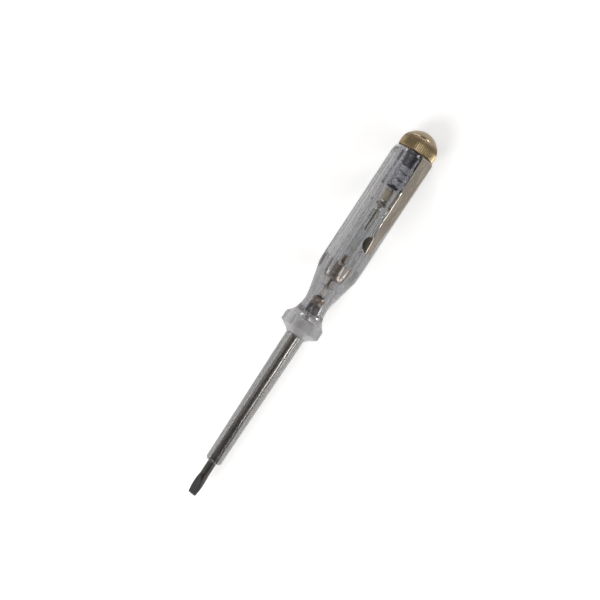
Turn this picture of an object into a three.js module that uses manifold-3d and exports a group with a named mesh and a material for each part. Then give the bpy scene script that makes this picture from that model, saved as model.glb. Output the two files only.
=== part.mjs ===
// Voltage tester screwdriver: a slotted blade in a clear octagonal handle that holds
// a glow lamp, a resistor and a spring behind a screwed brass cap with a pocket clip.
// Millimetres. The tool lies on one flat of its handle: +X runs from the blade's end
// to the cap, +Z points up, and the origin is the centre of the blade's end face.
import * as THREE from 'three';
import { mergeVertices } from 'three/addons/utils/BufferGeometryUtils.js';
import Module from 'manifold-3d';

const wasm = await Module();
wasm.setup();

// Blade: round shank, flattened end with two ground faces, thin neck held by a bush
const SHANK_RADIUS = 1.5;
const BLADE_END_WIDTH = 2.9;
const BLADE_WIDEST = 3.45;
const BLADE_WIDEST_AT = 4.2;
const BLADE_ROUND_FROM = 7.8;
const BLADE_END_THICKNESS = 0.5;
const BLADE_GRIND_LENGTH = 7.0;
const BLADE_ROLL = Math.PI / 6;
const NECK_RADIUS = 0.8;
const NECK_LENGTH = 5.2;

// Clear sleeve pushed over the shank and into the guard
const SLEEVE_START = 12.3;
const SLEEVE_END_RADIUS = 2.8;
const SLEEVE_RADIUS = 3.34;
const SLEEVE_TAPER_LENGTH = 47.5;
const SLEEVE_SEAT_DEPTH = 5.2;
const SLEEVE_BORE_CLEARANCE = 0.15;

// Handle: octagon with a round waist between the guard and the body
const FACET_COUNT = 8;
const ACROSS_FLATS = 13.85;
const GUARD_START = 61.4;
const GUARD_CONE_LENGTH = 2.7;
const GUARD_RIM_LENGTH = 2.3;
const WAIST_SPAN = 23.2;
const WAIST_RADIUS = 4.28;
const BODY_LENGTH = 39.97;
const TOP_CHAMFER_LENGTH = 2.13;
const TOP_RIM_RADIUS = 6.46;
const BORE_RADIUS = 3.45;
const FRONT_BORE_RADIUS = 2.5;
const FRONT_BORE_LENGTH = 11.0;
const SOCKET_WALL = 3.0;
const FIT = 0.12;

// Stack of contacts between the blade and the lamp
const ANCHOR_RADIUS = 2.35;
const ANCHOR_LENGTH = 3.2;
const ANCHOR_RIM = 0.35;
const PLUG_RADIUS = 2.15;
const PLUG_LENGTH = 3.0;
const PLUG_GROOVE_DEPTH = 0.3;
const WASHER_RADIUS = 1.45;
const WASHER_HOLE_RADIUS = 0.6;
const WASHER_THICKNESS = 0.45;
const CONTACT_COIL_RADIUS = 0.8;
const CONTACT_WIRE_RADIUS = 0.2;
const CONTACT_PITCH = 0.85;
const CONTACT_TURNS = 2.5;
const PIN_RADIUS = 0.8;
const PIN_HEAD_RADIUS = 1.2;
const PIN_HEAD_LENGTH = 0.5;
const PIN_LENGTH = 3.4;
const STACK_GAP = 0.2;

// Glow lamp: glass tube between a metal cup and a cap that flares towards the resistor
const LAMP_CUP_RADIUS = 3.1;
const LAMP_CUP_LENGTH = 5.5;
const LAMP_CUP_FLOOR = 0.8;
const LAMP_CUP_LIP = 0.3;
const LAMP_CUP_LIP_LENGTH = 1.8;
const GLASS_RADIUS = 2.6;
const GLASS_WALL = 0.5;
const GLASS_LENGTH = 25.3;
const ELECTRODE_RADIUS = 1.3;
const ELECTRODE_LENGTH = 2.7;
const ELECTRODE_LEAD_RADIUS = 0.4;
const ELECTRODE_LEAD_LENGTH = 4.8;
const REAR_ELECTRODE_RADIUS = 0.5;
const REAR_ELECTRODE_LENGTH = 7.8;
const LAMP_CONE_RADIUS = 2.9;
const LAMP_CONE_RIM = 0.5;
const LAMP_CONE_TIP_RADIUS = 0.7;
const LAMP_CONE_LENGTH = 2.2;

// Resistor with a metal cap at each end
const RESISTOR_RADIUS = 2.2;
const RESISTOR_LENGTH = 3.4;
const RESISTOR_CAP_RADIUS = 2.35;
const RESISTOR_CAP_LENGTH = 1.0;
const SEAT_RADIUS = 2.9;
const SEAT_THICKNESS = 0.6;
const SEAT_BOSS_RADIUS = 1.6;
const SEAT_BOSS_LENGTH = 0.5;

// Compression spring that pushes the stack onto the blade
const SPRING_COIL_RADIUS = 2.8;
const SPRING_WIRE_RADIUS = 0.3;
const SPRING_TURNS = 2.75;
const SPRING_PHASE_SHARE = 0.625;
const CURL_STEPS = 8;
const WIRE_SIDES = 5;

// Brass cap: threaded stem, knurled rim and a dome
const CAP_RADIUS = 6.5;
const CAP_DOME_RADIUS = 6.68;
const CAP_HEIGHT = 7.78;
const CAP_EDGE = 0.25;
const KNURL_COUNT = 60;
const KNURL_DEPTH = 0.25;
const STEM_RADIUS = 3.15;
const STEM_LENGTH = 4.85;
const STEM_CHAMFER = 0.4;

// Pocket clip: a ring under the cap, a bend over the rim and a long springy arm
const CLIP_THICKNESS = 0.4;
const CLIP_RING_RADIUS = 5.9;
const CLIP_RING_CLEARANCE = 0.2;
const CLIP_SEAT_GAP = 0.08;
const CLIP_WIDTH = 5.2;
const CLIP_TIP_WIDTH = 3.8;
const CLIP_TAPER_LENGTH = 12.2;
const CLIP_TIP_ROUNDING = 1.3;
const CLIP_BEND_RADIUS = 1.2;
const CLIP_LENGTH = 35.0;
const CLIP_LIFT = 0.25;
const CLIP_TOUCH_GAP = 0.1;
const CLIP_FLARE_LENGTH = 14.2;
const CLIP_FLARE_RISE = 1.35;
const CLIP_SPLIT_GAP = 0.2;
const EAR_LENGTH = 5.7;
const EAR_WIDTH = 2.7;
const EAR_SETBACK = 0.2;
const EAR_BEND = Math.PI / 6;
const CLIP_ANGLE = Math.PI / 4;

// Facets of round pieces, and how far a cutting solid runs past what it cuts
const HANDLE_SIDES = 48;
const LARGE_SIDES = 32;
const SMALL_SIDES = 24;
const ARC_STEPS = 8;
const OVERRUN = 1;

// Places along the tool, from the blade's end to the cap
const sleeveRear = GUARD_START + SLEEVE_SEAT_DEPTH;
const frontBoreStart = sleeveRear + SOCKET_WALL + FIT;
const mainBoreStart = frontBoreStart + FRONT_BORE_LENGTH;
const waistStart = GUARD_START + GUARD_CONE_LENGTH + GUARD_RIM_LENGTH;
const bodyStart = waistStart + WAIST_SPAN;
const handleTop = bodyStart + BODY_LENGTH + TOP_CHAMFER_LENGTH;
const shankBore = SHANK_RADIUS + SLEEVE_BORE_CLEARANCE;
const socketRadius = SLEEVE_RADIUS + FIT;
const flatRadius = ACROSS_FLATS / 2;
const facetHalf = Math.PI / FACET_COUNT;
const cornerRadius = flatRadius / Math.cos(facetHalf);

const anchorStart = frontBoreStart + STACK_GAP;
const plugStart = anchorStart + ANCHOR_LENGTH + STACK_GAP;
const washerStart = plugStart + PLUG_LENGTH + STACK_GAP;
const contactSpringStart = washerStart + WASHER_THICKNESS + STACK_GAP;
const contactSpringLength = CONTACT_PITCH * CONTACT_TURNS + 4 * CONTACT_WIRE_RADIUS;
const pinStart = contactSpringStart + contactSpringLength + STACK_GAP;
const lampStart = pinStart + PIN_LENGTH + STACK_GAP;
const glassStart = lampStart + LAMP_CUP_FLOOR + STACK_GAP;
const coneStart = glassStart + GLASS_LENGTH + STACK_GAP;
const resistorStart = coneStart + LAMP_CONE_LENGTH + STACK_GAP;
const resistorRear = resistorStart + 2 * RESISTOR_CAP_LENGTH + RESISTOR_LENGTH + 2 * FIT;
const seatStart = resistorRear + STACK_GAP;
const springStart = seatStart + SEAT_THICKNESS + STACK_GAP;

const clipRingStart = handleTop + CLIP_SEAT_GAP;
const capStart = clipRingStart + CLIP_THICKNESS + CLIP_SEAT_GAP;
const stemStart = capStart - STEM_LENGTH;
const springPitch = (stemStart - STACK_GAP - springStart - 4 * SPRING_WIRE_RADIUS) / SPRING_TURNS;

// Point lists share this form: each point is a place along the tool and a radius.
function arcPoints(centre, middleRadius, radius, from, to, steps) {
  const points = [];
  for (let i = 0; i <= steps; i++) {
    const angle = from + (to - from) * i / steps;
    points.push([centre + radius * Math.cos(angle), middleRadius + radius * Math.sin(angle)]);
  }
  return points;
}

// A round piece about the tool's axis, from its outline
function turned(outline, sides) {
  const points = outline.map(([along, radius]) => new THREE.Vector2(radius, along));
  const geometry = new THREE.LatheGeometry(points, sides);
  return geometry.rotateZ(-Math.PI / 2).rotateX(Math.PI / 2);
}

function rod(start, length, radius, sides) {
  return turned([[start, 0], [start, radius], [start + length, radius], [start + length, 0]], sides);
}

function tubePiece(start, length, inner, outer, sides) {
  const end = start + length;
  return turned([[start, inner], [start, outer], [end, outer], [end, inner], [start, inner]], sides);
}

function solid(geometry) {
  const bare = geometry.clone();
  bare.deleteAttribute('normal');
  bare.deleteAttribute('uv');
  const welded = mergeVertices(bare);
  return new wasm.Manifold(new wasm.Mesh({
    numProp: 3,
    vertProperties: new Float32Array(welded.attributes.position.array),
    triVerts: new Uint32Array(welded.index.array),
  }));
}

function geometryOf(body) {
  const mesh = body.getMesh();
  const geometry = new THREE.BufferGeometry();
  geometry.setAttribute('position', new THREE.BufferAttribute(mesh.vertProperties, 3));
  geometry.setIndex(new THREE.BufferAttribute(mesh.triVerts, 1));
  geometry.computeVertexNormals();
  return geometry;
}

function extruded(points, depth) {
  const shape = new THREE.Shape(points.map(([x, y]) => new THREE.Vector2(x, y)));
  return new THREE.ExtrudeGeometry(shape, { depth, bevelEnabled: false });
}

function finish(color, roughness, metalness, opacity = 1) {
  const material = new THREE.MeshStandardMaterial({ color, roughness, metalness });
  material.opacity = opacity;
  material.transparent = opacity < 1;
  return material;
}

function addPiece(parent, name, geometry, material) {
  const mesh = new THREE.Mesh(geometry, material);
  mesh.name = name;
  parent.add(mesh);
  return mesh;
}

// Blade: the turned shank is cut by a wedge that leaves the two ground faces.
function blade() {
  const shankEnd = sleeveRear + STACK_GAP;
  const neckEnd = shankEnd + NECK_LENGTH;
  const outline = [
    [0, 0],
    [0, BLADE_END_WIDTH / 2],
    [BLADE_WIDEST_AT, BLADE_WIDEST / 2],
    [BLADE_ROUND_FROM, SHANK_RADIUS],
    [shankEnd, SHANK_RADIUS],
    [shankEnd, NECK_RADIUS],
    [neckEnd, NECK_RADIUS],
    [neckEnd, 0],
  ];
  const thin = BLADE_END_THICKNESS / 2;
  const slope = (SHANK_RADIUS - thin) / BLADE_GRIND_LENGTH;
  const wide = BLADE_WIDEST + OVERRUN;
  const past = neckEnd + OVERRUN;
  const fullAt = (wide - thin) / slope;
  const wedge = extruded([
    [-OVERRUN, -thin + slope * OVERRUN],
    [fullAt, -wide],
    [past, -wide],
    [past, wide],
    [fullAt, wide],
    [-OVERRUN, thin - slope * OVERRUN],
  ], 2 * wide);
  wedge.rotateX(Math.PI / 2).translate(0, wide, 0).rotateX(-BLADE_ROLL);
  return geometryOf(solid(turned(outline, LARGE_SIDES)).intersect(solid(wedge)));
}

function sleeve() {
  const round = SLEEVE_END_RADIUS - shankBore;
  const taperStart = SLEEVE_START + round;
  const taperEnd = taperStart + SLEEVE_TAPER_LENGTH;
  const outline = [
    ...arcPoints(taperStart, shankBore, round, Math.PI, Math.PI / 2, ARC_STEPS),
    [taperEnd, SLEEVE_RADIUS],
    [sleeveRear, SLEEVE_RADIUS],
    [sleeveRear, shankBore],
    [SLEEVE_START, shankBore],
  ];
  return turned(outline, LARGE_SIDES);
}

// Handle: outline of the guard, waist and body, cut to an octagon, with stepped bores.
// Each waist point is a share of the waist's span and of its rise to the flats.
const waist_curve_shares = [
  [0, 1], [0.04, 0.87], [0.12, 0.39], [0.205, 0.13], [0.306, 0], [0.38, 0.045], [0.46, 0.19],
  [0.55, 0.36], [0.63, 0.51], [0.71, 0.665], [0.8, 0.825], [0.88, 0.93], [1, 1],
];
const guard_cone_shares = [[0, 0], [0.26, 0.2], [0.5, 0.52], [0.76, 0.8], [1, 1]];
const WAIST_STEPS = 24;

// The flats start to show and are full at these shares of the rise.
const facet_fade_shares = [0.65, 0.915];

// Draws a round shell out to the octagon's corners where the slopes carry flats.
function facetted(geometry, full) {
  const position = geometry.attributes.position;
  const [fadeFrom, fadeTo] = facet_fade_shares;
  for (let i = 0; i < position.count; i++) {
    const [x, y, z] = [position.getX(i), position.getY(i), position.getZ(i)];
    const rise = (Math.hypot(y, z) - WAIST_RADIUS) / (full - WAIST_RADIUS);
    if (rise > 0 && x < bodyStart + OVERRUN) {
      const angle = Math.atan2(y, z);
      const off = angle - Math.round(angle / (2 * facetHalf)) * 2 * facetHalf;
      const flat = THREE.MathUtils.smoothstep(rise, fadeFrom, fadeTo);
      const stretch = 1 + flat * (1 / Math.cos(off) - 1);
      position.setXYZ(i, x, y * stretch, z * stretch);
    }
  }
  return geometry;
}

function handle() {
  const full = flatRadius + FIT;
  const past = (full + FIT) / Math.cos(facetHalf);
  const guardFace = socketRadius + FIT;
  const cone = guard_cone_shares.map(([along, rise]) => [
    GUARD_START + along * GUARD_CONE_LENGTH,
    guardFace + rise * (full - guardFace),
  ]);
  const knots = waist_curve_shares.map(([along, rise]) => new THREE.Vector2(
    waistStart + along * WAIST_SPAN,
    WAIST_RADIUS + rise * (full - WAIST_RADIUS),
  ));
  const waist = new THREE.SplineCurve(knots).getPoints(WAIST_STEPS).map((p) => [p.x, p.y]);
  const outline = [
    [GUARD_START, socketRadius],
    ...cone,
    ...waist,
    [bodyStart, past],
    [bodyStart + BODY_LENGTH, past],
    [handleTop, TOP_RIM_RADIUS],
    [handleTop, BORE_RADIUS],
    [mainBoreStart, BORE_RADIUS],
    [mainBoreStart, FRONT_BORE_RADIUS],
    [frontBoreStart, FRONT_BORE_RADIUS],
    [frontBoreStart, shankBore],
    [sleeveRear + FIT, shankBore],
    [sleeveRear + FIT, socketRadius],
    [GUARD_START, socketRadius],
  ];
  const shell = facetted(turned(outline, HANDLE_SIDES), full);
  const length = handleTop - GUARD_START + 2 * OVERRUN;
  const octagon = new THREE.CylinderGeometry(cornerRadius, cornerRadius, length, FACET_COUNT);
  octagon.rotateY(facetHalf).rotateZ(-Math.PI / 2);
  octagon.translate(GUARD_START - OVERRUN + length / 2, 0, 0);
  return geometryOf(solid(shell).intersect(solid(octagon)));
}

function anchor() {
  const inner = NECK_RADIUS + FIT;
  const rim = ANCHOR_RADIUS - ANCHOR_RIM / 2;
  const end = anchorStart + ANCHOR_LENGTH;
  return turned([
    [anchorStart, inner],
    [anchorStart, ANCHOR_RADIUS],
    [anchorStart + ANCHOR_RIM, ANCHOR_RADIUS],
    [anchorStart + ANCHOR_RIM, rim],
    [end - ANCHOR_RIM, rim],
    [end - ANCHOR_RIM, ANCHOR_RADIUS],
    [end, ANCHOR_RADIUS],
    [end, inner],
    [anchorStart, inner],
  ], SMALL_SIDES);
}

function contactPlug() {
  const groove = PLUG_RADIUS - PLUG_GROOVE_DEPTH;
  const third = PLUG_LENGTH / 3;
  return turned([
    [plugStart, 0],
    [plugStart, PLUG_RADIUS],
    [plugStart + third, PLUG_RADIUS],
    [plugStart + third + PLUG_GROOVE_DEPTH, groove],
    [plugStart + 2 * third - PLUG_GROOVE_DEPTH, groove],
    [plugStart + 2 * third, PLUG_RADIUS],
    [plugStart + PLUG_LENGTH, PLUG_RADIUS],
    [plugStart + PLUG_LENGTH, 0],
  ], SMALL_SIDES);
}

function contactPin() {
  const end = pinStart + PIN_LENGTH;
  return turned([
    [pinStart, 0],
    [pinStart, PIN_HEAD_RADIUS],
    [pinStart + PIN_HEAD_LENGTH, PIN_HEAD_RADIUS],
    [pinStart + PIN_HEAD_LENGTH, PIN_RADIUS],
    [end, PIN_RADIUS],
    [end, 0],
  ], SMALL_SIDES);
}

function lampCup() {
  const inner = GLASS_RADIUS + FIT;
  const end = lampStart + LAMP_CUP_LENGTH;
  const body = LAMP_CUP_RADIUS - LAMP_CUP_LIP / 2;
  return turned([
    [lampStart, 0],
    [lampStart, LAMP_CUP_RADIUS - LAMP_CUP_LIP],
    [lampStart + LAMP_CUP_LIP, LAMP_CUP_RADIUS],
    [lampStart + LAMP_CUP_LIP_LENGTH, LAMP_CUP_RADIUS],
    [lampStart + LAMP_CUP_LIP_LENGTH, body],
    [end, body],
    [end, inner],
    [lampStart + LAMP_CUP_FLOOR, inner],
    [lampStart + LAMP_CUP_FLOOR, 0],
  ], LARGE_SIDES);
}

function frontElectrode() {
  const start = lampStart + LAMP_CUP_FLOOR + STACK_GAP;
  const head = start + ELECTRODE_LEAD_LENGTH;
  return turned([
    [start, 0],
    [start, ELECTRODE_LEAD_RADIUS],
    [head, ELECTRODE_LEAD_RADIUS],
    [head, ELECTRODE_RADIUS],
    [head + ELECTRODE_LENGTH, ELECTRODE_RADIUS],
    [head + ELECTRODE_LENGTH, 0],
  ], SMALL_SIDES);
}

function lampCone() {
  const end = coneStart + LAMP_CONE_LENGTH;
  return turned([
    [coneStart, 0],
    [coneStart, LAMP_CONE_TIP_RADIUS],
    [end - LAMP_CONE_RIM, LAMP_CONE_RADIUS],
    [end, LAMP_CONE_RADIUS],
    [end, 0],
  ], SMALL_SIDES);
}

function springSeat() {
  const bossStart = seatStart + SEAT_THICKNESS;
  return turned([
    [seatStart, 0],
    [seatStart, SEAT_RADIUS],
    [bossStart, SEAT_RADIUS],
    [bossStart, SEAT_BOSS_RADIUS],
    [bossStart + SEAT_BOSS_LENGTH, SEAT_BOSS_RADIUS],
    [bossStart + SEAT_BOSS_LENGTH, 0],
  ], LARGE_SIDES);
}

// A spring's wire runs straight for one wire diameter at each end, square to its seat.
function springCentres(start, coilRadius, wireRadius, pitch, turns) {
  const steps = Math.round(turns * CURL_STEPS);
  const centres = [];
  for (let i = 0; i <= steps; i++) {
    const angle = (i / CURL_STEPS - SPRING_PHASE_SHARE) * 2 * Math.PI;
    const along = start + 2 * wireRadius + pitch * i / CURL_STEPS;
    centres.push(new THREE.Vector3(along, -coilRadius * Math.sin(angle), coilRadius * Math.cos(angle)));
  }
  const run = new THREE.Vector3(2 * wireRadius, 0, 0);
  centres.unshift(centres[0].clone().sub(run));
  centres.push(centres[centres.length - 1].clone().add(run));
  return centres;
}

function leastGap(centres, wireRadius) {
  let least = Infinity;
  for (let i = 0; i < centres.length; i++) {
    for (let j = i + CURL_STEPS / 2; j < centres.length; j++) {
      least = Math.min(least, centres[i].distanceTo(centres[j]));
    }
  }
  return least - 2 * wireRadius;
}

function springWire(centres, wireRadius) {
  const positions = [];
  const faces = [];
  const last = centres.length - 1;
  centres.forEach((centre, i) => {
    const before = centres[Math.max(i - 1, 0)];
    const after = centres[Math.min(i + 1, last)];
    const into = centre.clone().sub(before).normalize();
    const out = after.clone().sub(centre).normalize();
    const along = into.clone().add(out).normalize();
    const bend = Math.max(along.dot(i > 0 ? into : out), 0.5);
    const outward = new THREE.Vector3(0, centre.y, centre.z).normalize();
    const side = along.clone().cross(outward).normalize();
    for (let k = 0; k < WIRE_SIDES; k++) {
      const angle = k * 2 * Math.PI / WIRE_SIDES;
      const point = centre.clone();
      point.addScaledVector(outward, wireRadius * Math.cos(angle));
      point.addScaledVector(side, wireRadius * Math.sin(angle) / bend);
      positions.push(point.x, point.y, point.z);
    }
  });
  for (let i = 0; i < last; i++) {
    for (let k = 0; k < WIRE_SIDES; k++) {
      const a = i * WIRE_SIDES + k;
      const b = i * WIRE_SIDES + (k + 1) % WIRE_SIDES;
      faces.push(a, b, a + WIRE_SIDES, b, b + WIRE_SIDES, a + WIRE_SIDES);
    }
  }
  for (let k = 1; k < WIRE_SIDES - 1; k++) {
    const end = last * WIRE_SIDES;
    faces.push(0, k + 1, k, end, end + k, end + k + 1);
  }
  const geometry = new THREE.BufferGeometry();
  geometry.setAttribute('position', new THREE.Float32BufferAttribute(positions, 3));
  geometry.setIndex(faces);
  geometry.computeVertexNormals();
  return geometry;
}

function spring(name, start, coilRadius, wireRadius, pitch, turns) {
  const centres = springCentres(start, coilRadius, wireRadius, pitch, turns);
  console.log(name, 'least gap to itself, mm:', leastGap(centres, wireRadius).toFixed(2));
  return springWire(centres, wireRadius);
}

// Cap: a ridged bar cut by a domed outline, joined to the stem
function endCap() {
  const domeCentre = capStart + CAP_HEIGHT - CAP_DOME_RADIUS;
  const domeFrom = Math.asin(CAP_RADIUS / CAP_DOME_RADIUS);
  const dome = arcPoints(domeCentre, 0, CAP_DOME_RADIUS, domeFrom, 0, ARC_STEPS + 2);
  dome[dome.length - 1][1] = 0;
  const outline = [
    [capStart, 0],
    [capStart, CAP_RADIUS - CAP_EDGE],
    [capStart + CAP_EDGE, CAP_RADIUS],
    ...dome,
  ];
  const ridges = [];
  for (let i = 0; i < KNURL_COUNT; i++) {
    const ridge = i * 2 * Math.PI / KNURL_COUNT;
    const groove = ridge + Math.PI / KNURL_COUNT;
    const low = CAP_RADIUS - KNURL_DEPTH;
    ridges.push([CAP_RADIUS * Math.cos(ridge), CAP_RADIUS * Math.sin(ridge)]);
    ridges.push([low * Math.cos(groove), low * Math.sin(groove)]);
  }
  const bar = extruded(ridges, CAP_HEIGHT + 2 * OVERRUN);
  bar.rotateY(Math.PI / 2).translate(capStart - OVERRUN, 0, 0);
  const stem = turned([
    [stemStart, 0],
    [stemStart, STEM_RADIUS - STEM_CHAMFER],
    [stemStart + STEM_CHAMFER, STEM_RADIUS],
    [capStart + CAP_EDGE, STEM_RADIUS],
    [capStart + CAP_EDGE, 0],
  ], LARGE_SIDES);
  const head = solid(turned(outline, KNURL_COUNT)).intersect(solid(bar));
  return geometryOf(head.add(solid(stem)));
}

// Clip pieces are drawn on the facet that carries them: x along the tool, y across
// the facet and z straight out of it. Their group turns them into place.
const clipMiddle = clipRingStart + CLIP_THICKNESS / 2;
const armHeight = flatRadius + CLIP_LIFT + CLIP_THICKNESS / 2;
const touchHeight = flatRadius + CLIP_TOUCH_GAP + CLIP_THICKNESS / 2;
const bendCentre = [clipMiddle - CLIP_BEND_RADIUS, armHeight - CLIP_BEND_RADIUS];
const armTop = bendCentre[0];
const clipEnd = armTop - CLIP_LENGTH;
const earFold = CLIP_TIP_WIDTH / 2;

// The arm's last stretch dips towards the facet and rises to its free end. Each point is a
// share of the flare's length from that end and a share of its rise above the facet.
const flare_shares = [[0.61, -0.26], [0.47, 0.7], [0, 1]];
const flare = new THREE.CubicBezierCurve(
  new THREE.Vector2(clipEnd + CLIP_FLARE_LENGTH, armHeight),
  ...flare_shares.map(([along, rise]) => new THREE.Vector2(
    clipEnd + along * CLIP_FLARE_LENGTH,
    touchHeight + rise * CLIP_FLARE_RISE,
  )),
).getPoints(2 * ARC_STEPS);

function armHeightAt(along) {
  const i = flare.findIndex((point) => point.x <= along);
  const [before, after] = [flare[i - 1], flare[i]];
  return before.y + (after.y - before.y) * (before.x - along) / (before.x - after.x);
}

// Sheet metal of even thickness along a middle line, seen from the side
function sheet(middle, width) {
  const upper = [];
  const lower = [];
  middle.forEach((point, i) => {
    const before = middle[Math.max(i - 1, 0)];
    const after = middle[Math.min(i + 1, middle.length - 1)];
    const along = new THREE.Vector2(after[0] - before[0], after[1] - before[1]).normalize();
    const x = -along.y * CLIP_THICKNESS / 2;
    const z = along.x * CLIP_THICKNESS / 2;
    upper.push([point[0] + x, point[1] + z]);
    lower.push([point[0] - x, point[1] - z]);
  });
  const geometry = extruded([...upper, ...lower.reverse()], width);
  return geometry.rotateX(Math.PI / 2).translate(0, width / 2, 0);
}

function clipCollar() {
  const hole = STEM_RADIUS + CLIP_RING_CLEARANCE;
  const ring = solid(tubePiece(clipRingStart, CLIP_THICKNESS, hole, CLIP_RING_RADIUS, LARGE_SIDES));
  const bend = arcPoints(bendCentre[0], bendCentre[1], CLIP_BEND_RADIUS, 0, Math.PI / 2, ARC_STEPS);
  const rootInside = CLIP_RING_RADIUS - OVERRUN;
  return geometryOf(ring.add(solid(sheet([[clipMiddle, rootInside], ...bend], CLIP_WIDTH))));
}

// The arm narrows to its folded edge at the end, and an ear runs on from that fold.
function armEdge(along) {
  const share = (armTop - along) / CLIP_LENGTH;
  const half = (CLIP_WIDTH + (CLIP_TIP_WIDTH - CLIP_WIDTH) * share) / 2;
  const taperFrom = clipEnd + CLIP_TAPER_LENGTH;
  const narrowed = -half * THREE.MathUtils.smoothstep(along, clipEnd, taperFrom);
  const into = Math.max(clipEnd + CLIP_TIP_ROUNDING - along, 0) / CLIP_TIP_ROUNDING;
  return earFold - (earFold - narrowed) * Math.sqrt(Math.max(1 - into ** 2, 0));
}

function clipArm() {
  const start = armTop - CLIP_SPLIT_GAP;
  const middle = [[start, armHeight], ...flare.map((p) => [p.x, p.y])];
  const strip = solid(sheet(middle, 2 * CLIP_WIDTH));
  const edge = [];
  for (let i = 0; i <= 2 * ARC_STEPS; i++) {
    const along = clipEnd + CLIP_TAPER_LENGTH * (1 - i / (2 * ARC_STEPS)) ** 2;
    edge.push([along, armEdge(along)]);
  }
  const plan = extruded([
    [armTop, CLIP_WIDTH / 2],
    [armTop, -CLIP_WIDTH / 2],
    ...edge,
  ], CLIP_FLARE_RISE + 2 * OVERRUN);
  plan.translate(0, 0, flatRadius);
  const arm = strip.intersect(solid(plan));
  return geometryOf(arm.add(solid(clipEar())));
}

function clipEar() {
  const end = clipEnd + EAR_SETBACK;
  const corner = new THREE.Vector3(end + EAR_LENGTH, earFold, armHeightAt(end + EAR_LENGTH));
  const along = new THREE.Vector3(end, earFold, armHeightAt(end)).sub(corner).normalize();
  const across = new THREE.Vector3(0, Math.cos(EAR_BEND), -Math.sin(EAR_BEND));
  const up = along.clone().cross(across).normalize();
  const points = [];
  for (let i = 0; i <= 2 * ARC_STEPS; i++) {
    const angle = Math.PI * i / (2 * ARC_STEPS);
    points.push([
      EAR_LENGTH / 2 - EAR_LENGTH / 2 * Math.cos(angle),
      EAR_WIDTH * Math.sin(angle),
    ]);
  }
  points.push([EAR_LENGTH, -CLIP_THICKNESS]);
  points.push([0, -CLIP_THICKNESS]);
  const ear = extruded(points, CLIP_THICKNESS);
  ear.translate(0, 0, -CLIP_THICKNESS / 2);
  return ear.applyMatrix4(new THREE.Matrix4().makeBasis(along, across, up).setPosition(corner));
}

// Finishes
const clearPlastic = finish(0xb9bcbe, 0.08, 0, 0.45);
const bladeSteel = finish(0x6b6a68, 0.3, 1);
const darkSteel = finish(0x4a494a, 0.4, 1);
const brass = finish(0xb08d4f, 0.25, 1);
const nickel = finish(0x9a958c, 0.2, 1);
const springSteel = finish(0x8d8d8f, 0.3, 1);
const blackFibre = finish(0x202022, 0.7, 0);
const lampGlass = finish(0xe4e8ea, 0.03, 0, 0.3);
const resistorClay = finish(0xb49a74, 0.6, 0);

const tester = new THREE.Group();
addPiece(tester, 'handle_grip', handle(), clearPlastic.clone());
addPiece(tester, 'blade_sleeve', sleeve(), clearPlastic.clone());
addPiece(tester, 'blade', blade(), bladeSteel);
addPiece(tester, 'blade_anchor', anchor(), darkSteel);
addPiece(tester, 'contact_plug', contactPlug(), brass.clone());
addPiece(tester, 'contact_washer', tubePiece(
  washerStart, WASHER_THICKNESS, WASHER_HOLE_RADIUS, WASHER_RADIUS, SMALL_SIDES), blackFibre);
addPiece(tester, 'contact_spring', spring('contact_spring', contactSpringStart,
  CONTACT_COIL_RADIUS, CONTACT_WIRE_RADIUS, CONTACT_PITCH, CONTACT_TURNS), springSteel.clone());
addPiece(tester, 'contact_pin', contactPin(), nickel.clone());
addPiece(tester, 'lamp_front_cap', lampCup(), nickel.clone());
addPiece(tester, 'lamp_front_electrode', frontElectrode(), springSteel.clone());
addPiece(tester, 'lamp_glass', tubePiece(
  glassStart, GLASS_LENGTH, GLASS_RADIUS - GLASS_WALL, GLASS_RADIUS, LARGE_SIDES), lampGlass);
addPiece(tester, 'lamp_rear_electrode', rod(
  coneStart - STACK_GAP - REAR_ELECTRODE_LENGTH, REAR_ELECTRODE_LENGTH,
  REAR_ELECTRODE_RADIUS, SMALL_SIDES), springSteel.clone());
addPiece(tester, 'lamp_rear_cap', lampCone(), darkSteel.clone());

// Resistor body between its two caps
const resistorBodyStart = resistorStart + RESISTOR_CAP_LENGTH + FIT;
const resistorRearCapStart = resistorBodyStart + RESISTOR_LENGTH + FIT;
addPiece(tester, 'resistor_front_cap', rod(
  resistorStart, RESISTOR_CAP_LENGTH, RESISTOR_CAP_RADIUS, SMALL_SIDES), nickel.clone());
addPiece(tester, 'resistor_body', rod(
  resistorBodyStart, RESISTOR_LENGTH, RESISTOR_RADIUS, SMALL_SIDES), resistorClay);
addPiece(tester, 'resistor_rear_cap', rod(
  resistorRearCapStart, RESISTOR_CAP_LENGTH, RESISTOR_CAP_RADIUS, SMALL_SIDES), nickel.clone());
addPiece(tester, 'spring_seat', springSeat(), darkSteel.clone());
addPiece(tester, 'compression_spring', spring('compression_spring', springStart,
  SPRING_COIL_RADIUS, SPRING_WIRE_RADIUS, springPitch, SPRING_TURNS), springSteel);
addPiece(tester, 'end_cap', endCap(), brass);

const clip = new THREE.Group();
clip.rotation.x = CLIP_ANGLE;
addPiece(clip, 'clip_collar', clipCollar(), nickel);
addPiece(clip, 'clip_arm', clipArm(), nickel.clone());
tester.add(clip);

console.log('handle top and overall length, mm:', handleTop.toFixed(2), (capStart + CAP_HEIGHT).toFixed(2));

export default tester;
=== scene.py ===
# Voltage tester screwdriver lying on a pale floor: a slotted blade in a clear octagonal
# handle that holds a glow lamp, a resistor and a spring behind a brass cap with a clip.
# Lengths are in millimetres; an outline is a list of places along the tool and radii.
import math

import bmesh
import bpy
from mathutils import Matrix, Vector


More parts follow.
